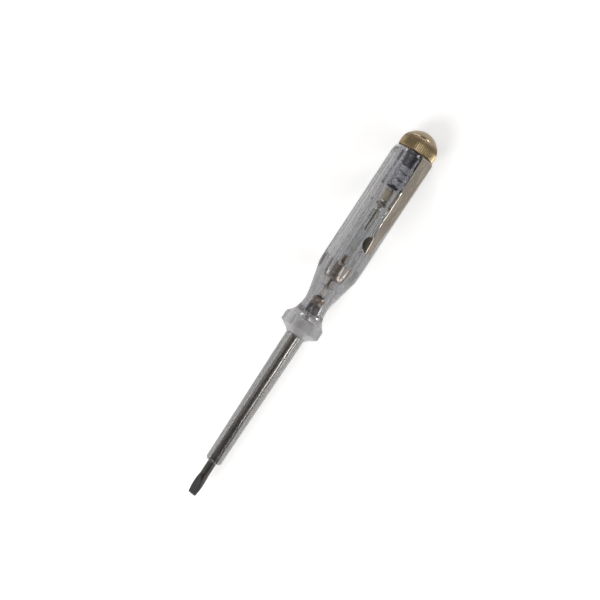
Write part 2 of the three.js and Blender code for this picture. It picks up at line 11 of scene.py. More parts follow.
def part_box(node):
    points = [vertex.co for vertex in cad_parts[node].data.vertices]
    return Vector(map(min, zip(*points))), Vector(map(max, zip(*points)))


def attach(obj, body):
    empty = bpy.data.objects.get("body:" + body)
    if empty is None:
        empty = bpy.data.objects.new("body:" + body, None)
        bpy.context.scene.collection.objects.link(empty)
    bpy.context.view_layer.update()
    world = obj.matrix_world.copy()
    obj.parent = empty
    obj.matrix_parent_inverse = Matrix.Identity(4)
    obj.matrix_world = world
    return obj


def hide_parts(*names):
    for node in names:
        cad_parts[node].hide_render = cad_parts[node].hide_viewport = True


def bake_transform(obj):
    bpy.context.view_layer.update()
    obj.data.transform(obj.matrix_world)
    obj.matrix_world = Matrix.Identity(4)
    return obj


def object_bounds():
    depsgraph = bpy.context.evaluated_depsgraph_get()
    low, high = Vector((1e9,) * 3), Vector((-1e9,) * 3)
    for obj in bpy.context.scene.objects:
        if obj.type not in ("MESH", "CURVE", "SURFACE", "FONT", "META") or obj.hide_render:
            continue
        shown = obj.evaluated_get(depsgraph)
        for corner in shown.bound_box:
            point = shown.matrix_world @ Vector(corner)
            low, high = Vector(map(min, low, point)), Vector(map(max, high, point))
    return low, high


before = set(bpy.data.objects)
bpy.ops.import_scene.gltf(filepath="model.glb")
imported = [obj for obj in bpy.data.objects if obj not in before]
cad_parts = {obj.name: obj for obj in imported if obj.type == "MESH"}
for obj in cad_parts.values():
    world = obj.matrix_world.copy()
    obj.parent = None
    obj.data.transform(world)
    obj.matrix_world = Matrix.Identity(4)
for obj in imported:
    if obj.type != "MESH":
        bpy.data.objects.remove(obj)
cad_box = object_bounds()

MM = 0.001
WELD = 0.0008
FACETS = 8
FACET_HALF = math.pi / FACETS


def reach(node):
    """Start, end and radius of a turned CAD node, in millimetres."""
    low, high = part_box(node)
    return low.x / MM, high.x / MM, high.z / MM


# Camera, floor and light
VIEW_ALONG = 72.0
VIEW_ACROSS = 5.1
VIEW_HEIGHT = 400.0
VIEW_TURN = -56.7
VIEW_LEAN = 4.0
IMAGE_WIDTH = 195.25
SENSOR = 36.0
NEAREST_SEEN = 10.0

TOOL_MIDDLE = (75, 0, 0)
CAP_MIDDLE = (137, 0, 0)
# Each lamp's place, size, brightness of its face, and what it faces
LAMPS = {
    "lamp_right": ((150, -420, 190), (300, 110), 9.0, TOOL_MIDDLE),
    "panel_left": ((70, 420, 300), (420, 380), 0.7, TOOL_MIDDLE),
    "lamp_far": ((-330, 120, 380), (340, 340), 6.5, TOOL_MIDDLE),
    "lamp_cap_left": ((520, 240, 120), (240, 50), 16.0, CAP_MIDDLE),
    "lamp_cap_right": ((520, -120, 120), (240, 80), 9.0, CAP_MIDDLE),
}
# The room's colour by how steeply one looks up
ROOM_STOPS = [
    (0.0, (0.26, 0.245, 0.22, 1)),
    (0.45, (0.30, 0.29, 0.275, 1)),
    (0.80, (0.22, 0.21, 0.20, 1)),
    (0.97, (0.05, 0.05, 0.05, 1)),
]
FLOOR_GLOW = 0.4
FLOOR_WIDTH = 4000.0
FLOOR_MIDDLE = 70.0


def camera():
    """Straight above the tool, then leaned about its axis towards the clip."""
    data = bpy.data.cameras.new("camera")
    data.sensor_width = SENSOR
    data.lens = SENSOR * VIEW_HEIGHT / IMAGE_WIDTH
    data.clip_start = NEAREST_SEEN * MM
    holder = bpy.data.objects.new("camera", data)
    lean = Matrix.Rotation(math.radians(VIEW_LEAN), 3, "X")
    turn = Matrix.Rotation(math.radians(VIEW_TURN), 3, "Z")
    holder.location = lean @ Vector((VIEW_ALONG, VIEW_ACROSS, VIEW_HEIGHT)) * MM
    holder.rotation_euler = (lean @ turn).to_euler()
    bpy.context.scene.collection.objects.link(holder)
    bpy.context.scene.camera = holder


def softbox(name, place, size, brightness, aim):
    """A large soft oval lamp."""
    data = bpy.data.lights.new(name, "AREA")
    data.shape = "ELLIPSE"
    data.size, data.size_y = size[0] * MM, size[1] * MM
    data.energy = brightness * math.pi * math.pi / 4 * data.size * data.size_y
    holder = bpy.data.objects.new(name, data)
    holder.location = Vector(place) * MM
    face = (Vector(place) - Vector(aim)).normalized()
    side = Vector((0, 1, 0)).cross(face).normalized()
    holder.rotation_euler = Matrix((side, face.cross(side), face)).transposed().to_euler()
    bpy.context.scene.collection.objects.link(holder)


def studio():
    """A dim room that is darker overhead, its lamps, and enough bounces for clear plastic."""
    world = bpy.data.worlds.new("studio")
    world.use_nodes = True
    nodes, links = world.node_tree.nodes, world.node_tree.links
    direction = nodes.new("ShaderNodeTexCoord")
    parts = nodes.new("ShaderNodeSeparateXYZ")
    ramp = nodes.new("ShaderNodeValToRGB")
    stops = ramp.color_ramp.elements
    while len(stops) < len(ROOM_STOPS):
        stops.new(1)
    for stop, (height, colour) in zip(stops, ROOM_STOPS):
        stop.position = height
        stop.color = colour
    links.new(direction.outputs["Generated"], parts.inputs[0])
    links.new(parts.outputs["Z"], ramp.inputs[0])
    links.new(ramp.outputs[0], nodes["Background"].inputs["Color"])
    bpy.context.scene.world = world
    for name, lamp_facts in LAMPS.items():
        softbox(name, *lamp_facts)
    scene = bpy.context.scene
    scene.view_settings.view_transform = "Standard"
    scene.view_settings.look = "None"
    scene.cycles.max_bounces = 40
    scene.cycles.transmission_bounces = 36
    scene.cycles.glossy_bounces = 16
    scene.cycles.diffuse_bounces = 6
    scene.cycles.use_denoising = True
    scene.cycles.caustics_refractive = False
    scene.cycles.caustics_reflective = False


def floor():
    deselect()
    bpy.ops.mesh.primitive_plane_add(
        size=FLOOR_WIDTH * MM, location=(FLOOR_MIDDLE * MM, 0, cad_box[0].z))
    plate = bpy.context.object
    plate.name = "floor"
    plate.data.materials.append(floor_paper())


# Shader maths
class Signal:
    """A socket in a material; sums written on it add its Math nodes."""

    def __init__(self, paint, socket):
        self.paint, self.socket = paint, socket

    def __add__(self, other):
        return self.paint.maths("ADD", self, other)

    __radd__ = __add__

    def __sub__(self, other):
        return self.paint.maths("SUBTRACT", self, other)

    def __rsub__(self, other):
        return self.paint.maths("SUBTRACT", other, self)

    def __mul__(self, other):
        return self.paint.maths("MULTIPLY", self, other)

    __rmul__ = __mul__

    def __pow__(self, other):
        return self.paint.maths("POWER", self, other)

    def __abs__(self):
        return self.paint.maths("ABSOLUTE", self)

    def between(self, low, high):
        """0 below low and 1 above high, with a soft step between them."""
        settings = {"interpolation_type": "SMOOTHSTEP"}
        inputs = {"Value": self, "From Min": low, "From Max": high}
        return self.paint.add("ShaderNodeMapRange", settings, inputs)


class Paint:
    """A material and the nodes that are added to it."""

    def __init__(self, name):
        self.material = bpy.data.materials.new(name)
        self.material.use_nodes = True
        self.tree = self.material.node_tree
        self.tree.nodes.clear()
        self.place = self.add("ShaderNodeTexCoord", output="Object")

    def add(self, kind, settings=None, inputs=None, output=0):
        """One node: its settings come first, then the values or links of its sockets."""
        node = self.tree.nodes.new(kind)
        for key, value in (settings or {}).items():
            setattr(node, key, value)
        for key, value in (inputs or {}).items():
            if isinstance(value, Signal):
                self.tree.links.new(value.socket, node.inputs[key])
            else:
                node.inputs[key].default_value = value
        return Signal(self, node.outputs[output]) if node.outputs else None

    def maths(self, operation, *values):
        return self.add("ShaderNodeMath", {"operation": operation}, dict(enumerate(values)))

    def stretched(self, along, across):
        """Object coordinates in millimetres, times these two scales."""
        scale = (along / MM, across / MM, across / MM)
        return self.add("ShaderNodeMapping", None, {"Vector": self.place, "Scale": scale})

    def spot(self):
        """Place along the tool, to its side and above its axis, in millimetres."""
        inputs = {0: self.stretched(1, 1)}
        return [self.add("ShaderNodeSeparateXYZ", None, inputs, axis) for axis in range(3)]

    def noise(self, along, across, detail=3, rough=0.55):
        """Noise with this many waves or so in a millimetre, along the tool and across it."""
        inputs = {"Vector": self.stretched(along, across), "Scale": 1.0}
        inputs.update({"Detail": detail, "Roughness": rough})
        return self.add("ShaderNodeTexNoise", None, inputs)

    def mix(self, factor, first, second):
        settings = {"data_type": "RGBA"}
        return self.add("ShaderNodeMix", settings, {0: factor, 6: first, 7: second}, 2)

    def bump(self, height, distance, strength=1.0):
        inputs = {"Height": height, "Distance": distance * MM, "Strength": strength}
        return self.add("ShaderNodeBump", None, inputs)

    def shader(self, **sockets):
        named = {key.replace("_", " "): value for key, value in sockets.items()}
        return self.add("ShaderNodeBsdfPrincipled", None, named)

    def finished(self, shader):
        self.add("ShaderNodeOutputMaterial", None, {"Surface": shader})
        return self.material

    def surface(self, **sockets):
        return self.finished(self.shader(**sockets))


def off_axis(y, z):
    """Distance from the tool's axis."""
    return (y * y + z * z) ** 0.5


def tone(red, green, blue):
    """A colour as a screen shows it, 0 to 255, in scene values."""
    def linear(value):
        part = value / 255
        return part / 12.92 if part <= 0.04045 else ((part + 0.055) / 1.055) ** 2.4
    return linear(red), linear(green), linear(blue), 1


# Materials
CLEAR = (1, 1, 1, 1)
# Painted shade inside the bore, round the springs
BORE_PAINTED_SHADE = (0.66, 0.67, 0.73, 1)
MILK_LIGHT = (0.82, 0.81, 0.825, 1)
MILK_DARK = (0.64, 0.64, 0.65, 1)
SMOKE_LIGHT = (0.335, 0.333, 0.338, 1)
SMOKE_DARK = (0.31, 0.308, 0.316, 1)
SMOKE_VIOLET = (0.31, 0.29, 0.34, 1)
SLEEVE_LIGHT = (0.32, 0.32, 0.315, 1)
SLEEVE_DARK = (0.28, 0.28, 0.275, 1)
BRASS_LIGHT = (0.54, 0.43, 0.25, 1)
BRASS_WARM = (0.44, 0.33, 0.19, 1)
BRASS_GROOVE_SHADE = (0.15, 0.11, 0.065, 1)
BRASS_CROWN_SHADE = (0.24, 0.19, 0.135, 1)
STEM_GREY = (0.17, 0.17, 0.18, 1)
STEEL_LIGHT = (0.60, 0.58, 0.56, 1)
STEEL_WARM = (0.46, 0.42, 0.39, 1)
STEEL_DARK = (0.24, 0.22, 0.21, 1)
STEEL_SHADE = (0.15, 0.125, 0.13, 1)
# Painted shade on the bare shank
STEEL_BARE_SHADE = (0.09, 0.085, 0.08, 1)
BLADE_BLUED = (0.075, 0.075, 0.078, 1)
BUSH_LIGHT = (0.26, 0.245, 0.25, 1)
BUSH_DARK = (0.12, 0.11, 0.115, 1)
PLUG_LIGHT = (0.42, 0.36, 0.31, 1)
PLUG_DARK = (0.26, 0.20, 0.17, 1)
NICKEL_LIGHT = (0.58, 0.53, 0.46, 1)
NICKEL_DARK = (0.34, 0.29, 0.22, 1)
WIRE_LIGHT = (0.80, 0.80, 0.82, 1)
WIRE_DARK = (0.56, 0.57, 0.60, 1)
CONTACT_LIGHT = (0.88, 0.86, 0.80, 1)
CONTACT_DARK = (0.66, 0.62, 0.56, 1)
ELECTRODE_LIGHT = (0.46, 0.35, 0.30, 1)
ELECTRODE_DARK = (0.28, 0.21, 0.175, 1)
CUP_LIGHT = (0.52, 0.47, 0.42, 1)
CUP_DARK = (0.36, 0.31, 0.26, 1)
CLIP_LIGHT = (0.33, 0.30, 0.265, 1)
CLIP_DARK = (0.21, 0.18, 0.145, 1)
CERAMIC_LIGHT = tone(255, 242, 218)
CERAMIC_DARK = tone(252, 230, 200)
FIBRE_LIGHT = tone(52, 50, 50)
FIBRE_DARK = tone(18, 18, 20)
GLASS_CLEAR = tone(240, 243, 243)
GLASS_FILM = tone(214, 214, 210)
PAPER_LIGHT = tone(244, 244, 243)
PAPER_DARK = tone(240, 240, 239)
PAPER_GLOW = (1, 1, 1, 1)

PLASTIC_IOR = 1.49
PLASTIC_CLARITY = 0.98
GLASS_IOR = 1.47
SKIN_FADE = 0.3
HANDLE_ROUGHNESS = 0.01
HANDLE_CLEAR_RADIUS = 3.8
BORE_SHADE_FROM = 117.5
DULL_TO = 69.5
DULL_FADE = 3.0
MILK_SHARE = 0.3
RUBBED_SIDES = (5.4, 6.4)
SLEEVE_ROUGHNESS = 0.005
SLEEVE_CLEAR_RADIUS = 2.2
BARE_SHADE_FROM = 12.5
SHANK_SHADE = (18, 46)
GRIND_END = (4.4, 5.4)
GRIND_SLANT = 0.7


def moulding(paint, light, dark):
    """Smoky colour, wear and relief of moulded plastic, and the patches they follow."""
    flow = paint.noise(0.03, 0.4, detail=2)
    violet = paint.noise(0.05, 0.3, detail=2)
    patches = paint.noise(0.35, 0.5, detail=4)
    scratches = paint.noise(0.25, 14, rough=0.7).between(0.64, 0.72)
    colour = paint.mix(flow.between(0.3, 0.7), dark, light)
    colour = paint.mix(violet.between(0.45, 0.75) * 0.4, colour, SMOKE_VIOLET)
    wear = patches.between(0.5, 0.8) * 0.015 + scratches * 0.02
    relief = flow * 0.006 + patches * 0.008 + scratches * 0.004
    return colour, wear, relief, patches


def handle_plastic():
    """Smoky on its outer skin and milky in front; the bore is colourless, then grey with painted
    shade towards the cap.
    """
    paint = Paint("handle_plastic")
    along, y, z = paint.spot()
    colour, wear, relief, patches = moulding(paint, SMOKE_LIGHT, SMOKE_DARK)
    skin = off_axis(y, z).between(HANDLE_CLEAR_RADIUS, HANDLE_CLEAR_RADIUS + SKIN_FADE)
    # Painted shade: the bore turns grey round the springs, darkening what is seen behind them
    bore = paint.mix(along.between(BORE_SHADE_FROM, BORE_SHADE_FROM + 1.5), CLEAR, BORE_PAINTED_SHADE)
    dull = (1 - along.between(DULL_TO - DULL_FADE, DULL_TO)) * skin
    threaded = (1 - skin) * along.between(BORE_THREAD_FROM - 1, BORE_THREAD_FROM)
    rubbed = abs(y).between(*RUBBED_SIDES) * skin
    bump = paint.bump(relief + patches * dull * 0.25, 0.012, strength=0.5)
    clear = paint.shader(
        Base_Color=paint.mix(skin, bore, colour),
        Roughness=wear + HANDLE_ROUGHNESS + dull * 0.1 + (threaded + rubbed) * 0.3,
        Transmission_Weight=PLASTIC_CLARITY,
        IOR=PLASTIC_IOR,
        Normal=bump,
    )
    milky = paint.shader(
        Base_Color=paint.mix(patches, MILK_DARK, MILK_LIGHT), Roughness=0.4, Normal=bump)
    both = {0: dull * MILK_SHARE, 1: clear, 2: milky}
    return paint.finished(paint.add("ShaderNodeMixShader", None, both))


def sleeve_plastic():
    """Smoky on its outer skin, with a colourless bore."""
    paint = Paint("sleeve_plastic")
    y, z = paint.spot()[1:]
    colour, wear, relief = moulding(paint, SLEEVE_LIGHT, SLEEVE_DARK)[:3]
    skin = off_axis(y, z).between(SLEEVE_CLEAR_RADIUS, SLEEVE_CLEAR_RADIUS + SKIN_FADE)
    return paint.surface(
        Base_Color=paint.mix(skin, CLEAR, colour),
        Roughness=wear + SLEEVE_ROUGHNESS,
        Transmission_Weight=PLASTIC_CLARITY,
        IOR=PLASTIC_IOR,
        Normal=paint.bump(relief, 0.012, strength=0.5),
    )


def metal(name, light, dark, roughness, along, across):
    """Bare or plated metal with smudges, pits and fine tool marks one way."""
    paint = Paint(name)
    marks = paint.noise(along, across, detail=4, rough=0.65)
    smudges = paint.noise(0.12, 0.35)
    pits = paint.noise(3.2, 3.2, detail=2).between(0.7, 0.8)
    colour = paint.mix(smudges.between(0.25, 0.85), light, dark)
    colour = paint.mix(marks.between(0.5, 0.75) * 0.4, colour, dark)
    return paint.surface(
        Base_Color=paint.mix(pits * 0.5, colour, dark),
        Metallic=1.0,
        Roughness=roughness + smudges.between(0.4, 0.75) * 0.18 + marks * 0.05,
        Normal=paint.bump(marks - pits * 0.6, 0.004),
    )


def cap_brass():
    """Brass, bright on the ridges, with painted shade in the grooves and on the crown, grey on the
    stem.
    """
    paint = Paint("cap_brass")
    along, y, z = paint.spot()
    rings = paint.noise(18, 0.4)
    smudges = paint.noise(0.12, 0.5)
    knurled = 1 - along.between(CAP_SMOOTH_FROM - 1.0, CAP_SMOOTH_FROM)
    ridge = off_axis(y, z).between(CAP_RADIUS - KNURL_DEPTH, CAP_RADIUS - 0.08)
    groove = (1 - ridge) * knurled
    crown = along.between(CAP_SMOOTH_FROM - 1.2, CAP_SMOOTH_FROM - 0.4)
    stem = 1 - along.between(CAP_START - 0.2, CAP_START)
    colour = paint.mix(smudges.between(0.4, 0.62), BRASS_WARM, BRASS_LIGHT)
    # Painted shade in the knurls' grooves
    colour = paint.mix(groove * 0.8, colour, BRASS_GROOVE_SHADE)
    # Painted shade on the crown, which dims its reflection of the bright floor
    colour = paint.mix(crown * 0.9, colour, BRASS_CROWN_SHADE)
    return paint.surface(
        Base_Color=paint.mix(stem, colour, STEM_GREY),
        Metallic=1.0,
        Roughness=0.15 + smudges.between(0.4, 0.8) * 0.08 + groove * 0.15 + knurled * 0.15,
        Normal=paint.bump(rings + smudges * 0.5, 0.004),
    )


def blade_steel():
    """Drawn steel shank with painted shade, darker towards its bare end; the ground flats are
    blued.
    """
    paint = Paint("blade_steel")
    along, y, z = paint.spot()
    drawn = paint.noise(0.05, 9, detail=4, rough=0.6)
    ground = paint.noise(16, 0.5, rough=0.7)
    smudges = paint.noise(0.2, 0.6, detail=4)
    roll = math.radians(BLADE_ROLL)
    thin = BLADE_END_THICKNESS / 2
    off_flat = abs(y * math.sin(roll) + z * math.cos(roll)) - along * BLADE_SLOPE
    flats = off_flat.between(thin - 0.03, thin - 0.01)
    flats = flats * (1 - along.between(BLADE_GRIND_LENGTH, BLADE_GRIND_LENGTH + 0.2))
    front = 1 - (along - y * GRIND_SLANT).between(*GRIND_END)
    tip = paint.maths("MAXIMUM", flats, front)
    worn = (1 - along.between(0.1, 0.6)) * smudges.between(0.35, 0.6)
    bare = 1 - along.between(BARE_SHADE_FROM, BARE_SHADE_FROM + 3)
    shade = 1 - along.between(*SHANK_SHADE)
    colour = paint.mix(smudges.between(0.35, 0.7), STEEL_LIGHT, STEEL_WARM)
    colour = paint.mix(drawn.between(0.5, 0.8) * 0.5, colour, STEEL_DARK)
    # Painted shade towards the tip, nearly black on the bare shank
    colour = paint.mix(shade * 0.75, colour, STEEL_SHADE)
    colour = paint.mix(bare * 0.95, colour, STEEL_BARE_SHADE)
    colour = paint.mix(tip * 0.93, colour, BLADE_BLUED)
    return paint.surface(
        Base_Color=paint.mix(worn * 0.5, colour, STEEL_LIGHT),
        Metallic=1.0,
        Roughness=0.27 + smudges.between(0.4, 0.8) * 0.1 + tip * 0.15 + bare * 0.08,
        Normal=paint.bump(drawn * (1 - tip) + ground * tip, 0.002),
    )


def black_fibre():
    paint = Paint("black_fibre")
    fibres = paint.noise(2, 9, detail=4, rough=0.7)
    return paint.surface(
        Base_Color=paint.mix(fibres.between(0.3, 0.8), FIBRE_DARK, FIBRE_LIGHT),
        Roughness=0.55 + fibres * 0.3,
        Normal=paint.bump(fibres, 0.02),
    )


def lamp_glass():
    """Drawn glass with a faint smoky film in patches."""
    paint = Paint("lamp_glass")
    waves = paint.noise(0.2, 0.7)
    film = paint.noise(0.5, 0.5).between(0.4, 0.75)
    return paint.surface(
        Base_Color=paint.mix(film, GLASS_CLEAR, GLASS_FILM),
        Roughness=0.01 + film * 0.02,
        Transmission_Weight=1.0,
        IOR=GLASS_IOR,
        Normal=paint.bump(waves, 0.003, strength=0.4),
    )


def resistor_ceramic():
    """Lacquered resistor body, softly mottled."""
    paint = Paint("resistor_ceramic")
    speckle = paint.noise(2.5, 2.5, detail=4)
    return paint.surface(
        Base_Color=paint.mix(speckle.between(0.35, 0.7), CERAMIC_LIGHT, CERAMIC_DARK),
        Roughness=0.2 + speckle * 0.1,
        Coat_Weight=0.6,
        Normal=paint.bump(speckle, 0.02),
    )


def floor_paper():
    """Pale paper that glows a little, so that it stays white in the dim room."""
    paint = Paint("floor_paper")
    tooth = paint.noise(0.2, 0.2)
    return paint.surface(
        Base_Color=paint.mix(tooth, PAPER_LIGHT, PAPER_DARK),
        Roughness=0.75,
        Specular_IOR_Level=0.2,
        Emission_Color=PAPER_GLOW,
        Emission_Strength=FLOOR_GLOW,
    )


# Mesh tools
def deselect():
    bpy.ops.object.select_all(action="DESELECT")


def draw(name, outline):
    """A line of points in the upright plane through the axis, drawn one by one."""
    deselect()
    bpy.ops.mesh.primitive_plane_add(size=MM, location=(0, 0, 0))
    piece = bpy.context.object
    piece.name = piece.data.name = name
    bpy.ops.object.mode_set(mode="EDIT")
    bpy.ops.mesh.select_mode(type="VERT")
    bpy.ops.mesh.select_all(action="SELECT")
    bpy.ops.mesh.merge(type="CENTER")
    at = Vector((0, 0, 0))
    for i, (along, radius) in enumerate(outline):
        step = Vector((along * MM, 0, radius * MM)) - at
        if i == 0:
            bpy.ops.transform.translate(value=step)
        else:
            bpy.ops.mesh.extrude_vertices_move(TRANSFORM_OT_translate={"value": step})
        at += step
    return piece


def close_up():
    """Welds what touches, turns the faces outwards and leaves edit mode."""
    bpy.ops.mesh.select_all(action="SELECT")
    bpy.ops.mesh.remove_doubles(threshold=WELD * MM)
    bpy.ops.mesh.normals_make_consistent(inside=False)
    bpy.ops.object.mode_set(mode="OBJECT")


def turned(name, outline, sides=96):
    """A piece turned about the tool's axis. A tube's outline ends where it starts."""
    piece = draw(name, outline)
    bpy.ops.mesh.select_all(action="SELECT")
    bpy.ops.mesh.spin(steps=sides, angle=2 * math.pi, center=(0, 0, 0), axis=(1, 0, 0))
    close_up()
    return piece


def rounded(points, radius, steps=3):
    """The same outline with its inner corners rounded; a closed one all round."""
    ring = points[0] == points[-1]
    corners = points[:-1] if ring else points
    result = []
    for i, corner in enumerate(corners):
        here = Vector(corner)
        if not ring and i in (0, len(corners) - 1):
            result.append(corner)
            continue
        back = Vector(corners[i - 1]) - here
        ahead = Vector(corners[(i + 1) % len(corners)]) - here
        cut = min(radius, back.length * 0.45, ahead.length * 0.45)
        first = here + back.normalized() * cut
        last = here + ahead.normalized() * cut
        for k in range(steps + 1):
            t = k / steps
            point = first * (1 - t) ** 2 + here * 2 * t * (1 - t) + last * t * t
            result.append((point.x, point.y))
    return result + result[:1] if ring else result


def arc(centre, middle, radius, start, end, steps):
    """Points on a circle about (centre, middle), from one angle to another."""
    points = []
    for i in range(steps + 1):
        angle = math.radians(start + (end - start) * i / steps)
        points.append((centre + radius * math.cos(angle), middle + radius * math.sin(angle)))
    return points


def spaced(points, gap):
    """The same line with points added, so that none are further apart than gap."""
    result = [points[0]]
    for start, end in zip(points, points[1:]):
        parts = max(1, math.ceil(math.dist(start, end) / gap))
        for k in range(1, parts + 1):
            t = k / parts
            result.append((start[0] + (end[0] - start[0]) * t, start[1] + (end[1] - start[1]) * t))
    return result


def spline(points, steps):
    """A smooth line through the points."""
    result = []
    last = len(points) - 1
    for i in range(steps + 1):
        at = i / steps * last
        k = min(int(at), last - 1)
        t = at - k
        near = [Vector(points[min(max(k + n, 0), last)]) for n in (-1, 0, 1, 2)]
        into = (near[2] - near[0]) / 2
        out = (near[3] - near[1]) / 2
        point = (
            near[1] * (2 * t ** 3 - 3 * t ** 2 + 1)
            + into * (t ** 3 - 2 * t ** 2 + t)
            + near[2] * (3 * t ** 2 - 2 * t ** 3)
            + out * (t ** 3 - t ** 2)
        )
        result.append((point.x, point.y))
    return result


def curve(knots, steps):
    """Points on a cubic curve with these four knots, closer together towards its end."""
    points = []
    for i in range(steps + 1):
        t = 1 - (1 - i / steps) ** 1.6
        weights = ((1 - t) ** 3, 3 * t * (1 - t) ** 2, 3 * t * t * (1 - t), t ** 3)
        point = sum((Vector(knot) * weight for knot, weight in zip(knots, weights)), Vector((0, 0)))
        points.append((point.x, point.y))
    return points


def eased(value, low, high):
    """0 below low and 1 above high, with a soft step between them."""
    t = min(max((value - low) / (high - low), 0), 1)
    return t * t * (3 - 2 * t)


def shaped(piece, move):
    """Moves each point of a turned piece: move gives a new radius and angle."""
    for vertex in piece.data.vertices:
        along, y, z = (part / MM for part in vertex.co)
        radius, angle = math.hypot(y, z), math.atan2(-y, z)
        if radius < WELD:
            continue
        radius, angle = move(along, radius, angle)
        vertex.co = Vector((along, -radius * math.sin(angle), radius * math.cos(angle))) * MM
    piece.data.update()


def dress(piece, body, material, slot, *nodes, angle=35):
    """Smooths a finished piece and gives it its finish; hides the CAD nodes it stands for, and
    hangs it on its body when that is a name, else bakes its place into it.
    """
    deselect()
    piece.select_set(True)
    bpy.context.view_layer.objects.active = piece
    bpy.ops.object.shade_smooth_by_angle(angle=math.radians(angle))
    piece.data.materials.clear()
    piece.data.materials.append(material)
    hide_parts(*nodes)
    if isinstance(body, str):
        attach(piece, body)
    else:
        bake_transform(piece)


def fixed(name, node, slot, material, outline, rounding=0.1, steps=3, sides=96):
    """A turned piece with rounded corners that is held still in the handle."""
    piece = turned(name, rounded(outline, rounding, steps), sides)
    dress(piece, "handle", material, slot, node)


# Handle
HANDLE_START, HANDLE_END, FLAT_RADIUS = reach("handle_grip")
CORNER_RADIUS = FLAT_RADIUS / math.cos(FACET_HALF)
FIT = 0.12
FULL_RADIUS = FLAT_RADIUS + FIT
PAST_RADIUS = CORNER_RADIUS + 2 * FIT
GUARD_CONE_LENGTH = 2.7
GUARD_RIM_LENGTH = 2.3
WAIST_SPAN = 23.2
WAIST_RADIUS = 4.28
TOP_CHAMFER_LENGTH = 2.13
TOP_RIM_RADIUS = 6.46
TOP_ROUNDING = 0.25
BORE_RADIUS = 3.45
BORE_ROUNDING = 0.15
FRONT_BORE_RADIUS = 2.5
FRONT_BORE_LENGTH = 11.0
SLEEVE_END = reach("blade_sleeve")[1]
SOCKET_RADIUS = reach("blade_sleeve")[2] + FIT
SOCKET_WALL = 3.0
SHANK_BORE = 1.65
EDGE_ROUNDING = 0.22
CREASE_SOFTNESS = 0.3
FACET_STEPS = 24
CORNER_STEPS = 2
THREAD_PITCH = 0.7
THREAD_STEP = THREAD_PITCH / 8
BORE_THREAD_DEPTH = 0.1
BORE_THREAD_LENGTH = 4.2
BORE_THREAD_FROM = HANDLE_END - BORE_THREAD_LENGTH

# Shares of a length and of a rise in radius
GUARD_CONE = [(0, 0), (0.26, 0.2), (0.5, 0.52), (0.76, 0.8), (1, 1)]
WAIST_CURVE = [
    (0, 1), (0.04, 0.87), (0.12, 0.39), (0.205, 0.13), (0.306, 0), (0.38, 0.045), (0.46, 0.19),
    (0.55, 0.36), (0.63, 0.51), (0.71, 0.665), (0.8, 0.825), (0.88, 0.93), (1, 1),
]
# Shares of the waist's rise between which the round turns into the octagon
FACET_FADE = (0.65, 0.915)


def handle_outline():
    """Guard, waist, body and chamfer outside, then the stepped bore back to the front."""
    face = SOCKET_RADIUS + FIT
    rim = HANDLE_START + GUARD_CONE_LENGTH
    waist = rim + GUARD_RIM_LENGTH
    body = waist + WAIST_SPAN
    cone = [(HANDLE_START + a * GUARD_CONE_LENGTH, face + r * (FULL_RADIUS - face))
            for a, r in GUARD_CONE]
    narrow = [(waist + a * WAIST_SPAN, WAIST_RADIUS + r * (FULL_RADIUS - WAIST_RADIUS))
              for a, r in WAIST_CURVE]
    outside = spline(cone, 20) + spaced(spline(narrow, 110), 0.3)
    shoulder = HANDLE_END - TOP_CHAMFER_LENGTH
    top = rounded([
        (body + 2, PAST_RADIUS),
        (shoulder, PAST_RADIUS),
        (HANDLE_END, TOP_RIM_RADIUS),
        (HANDLE_END, BORE_RADIUS + FIT),
        (HANDLE_END - FIT, BORE_RADIUS),
    ], TOP_ROUNDING)
    threads = spaced([top[-1], (BORE_THREAD_FROM, BORE_RADIUS)], THREAD_STEP)
    front = SLEEVE_END + SOCKET_WALL + FIT
    main = front + FRONT_BORE_LENGTH
    inside = rounded([
        threads[-1],
        (main, BORE_RADIUS),
        (main, FRONT_BORE_RADIUS),
        (front, FRONT_BORE_RADIUS),
        (front, SHANK_BORE),
        (SLEEVE_END + FIT, SHANK_BORE),
        (SLEEVE_END + FIT, SOCKET_RADIUS),
        (HANDLE_START, SOCKET_RADIUS),
        outside[0],
    ], BORE_ROUNDING)
    body_run = spaced([outside[-1], top[0]], 0.3)
    body_run += spaced([top[0], (shoulder - 1, PAST_RADIUS)], 4)
    return outside + body_run[1:] + spaced(top[1:], 0.35) + threads[1:] + inside[1:]


def flat_half_angle(apothem):
    """Half the angle that the flat part of a facet takes up, between its rounded edges."""
    return math.atan(math.tan(FACET_HALF) * (1 - EDGE_ROUNDING / apothem))


def octagon_radius(angle, apothem=FLAT_RADIUS):
    """Distance from the axis to the octagon's face or rounded edge at this angle."""
    off = abs((angle + FACET_HALF) % (2 * FACET_HALF) - FACET_HALF)
    if off <= flat_half_angle(apothem):
        return apothem / math.cos(off)
    middle = (apothem - EDGE_ROUNDING) / math.cos(FACET_HALF)
    aside = FACET_HALF - off
    rise = math.sqrt(EDGE_ROUNDING ** 2 - (middle * math.sin(aside)) ** 2)
    return middle * math.cos(aside) + rise


def softer_least(first, second):
    """The smaller of two radii, eased where they cross."""
    overlap = max(CREASE_SOFTNESS - abs(first - second), 0) / CREASE_SOFTNESS
    return min(first, second) - overlap ** 2 * CREASE_SOFTNESS / 4


def gathered(angle):
    """Moves the even steps of a turned piece together at the octagon's edges."""
    flat_half = flat_half_angle(FLAT_RADIUS)
    facet = round(angle / (2 * FACET_HALF)) * 2 * FACET_HALF
    off = angle - facet
    step = 2 * FACET_HALF / FACET_STEPS
    even_half = FACET_HALF - CORNER_STEPS * step
    if abs(off) <= even_half:
        return facet + off * flat_half / even_half
    beyond = (abs(off) - even_half) / (FACET_HALF - even_half)
    return facet + math.copysign(flat_half + beyond * (FACET_HALF - flat_half), off)


def thread_height(along, angle):
    """0 in a thread's root and 1 on its crest, for a right-hand thread."""
    turn = (along / THREAD_PITCH - (angle + math.pi / 2) / (2 * math.pi)) % 1
    return 1 - abs(2 * turn - 1)


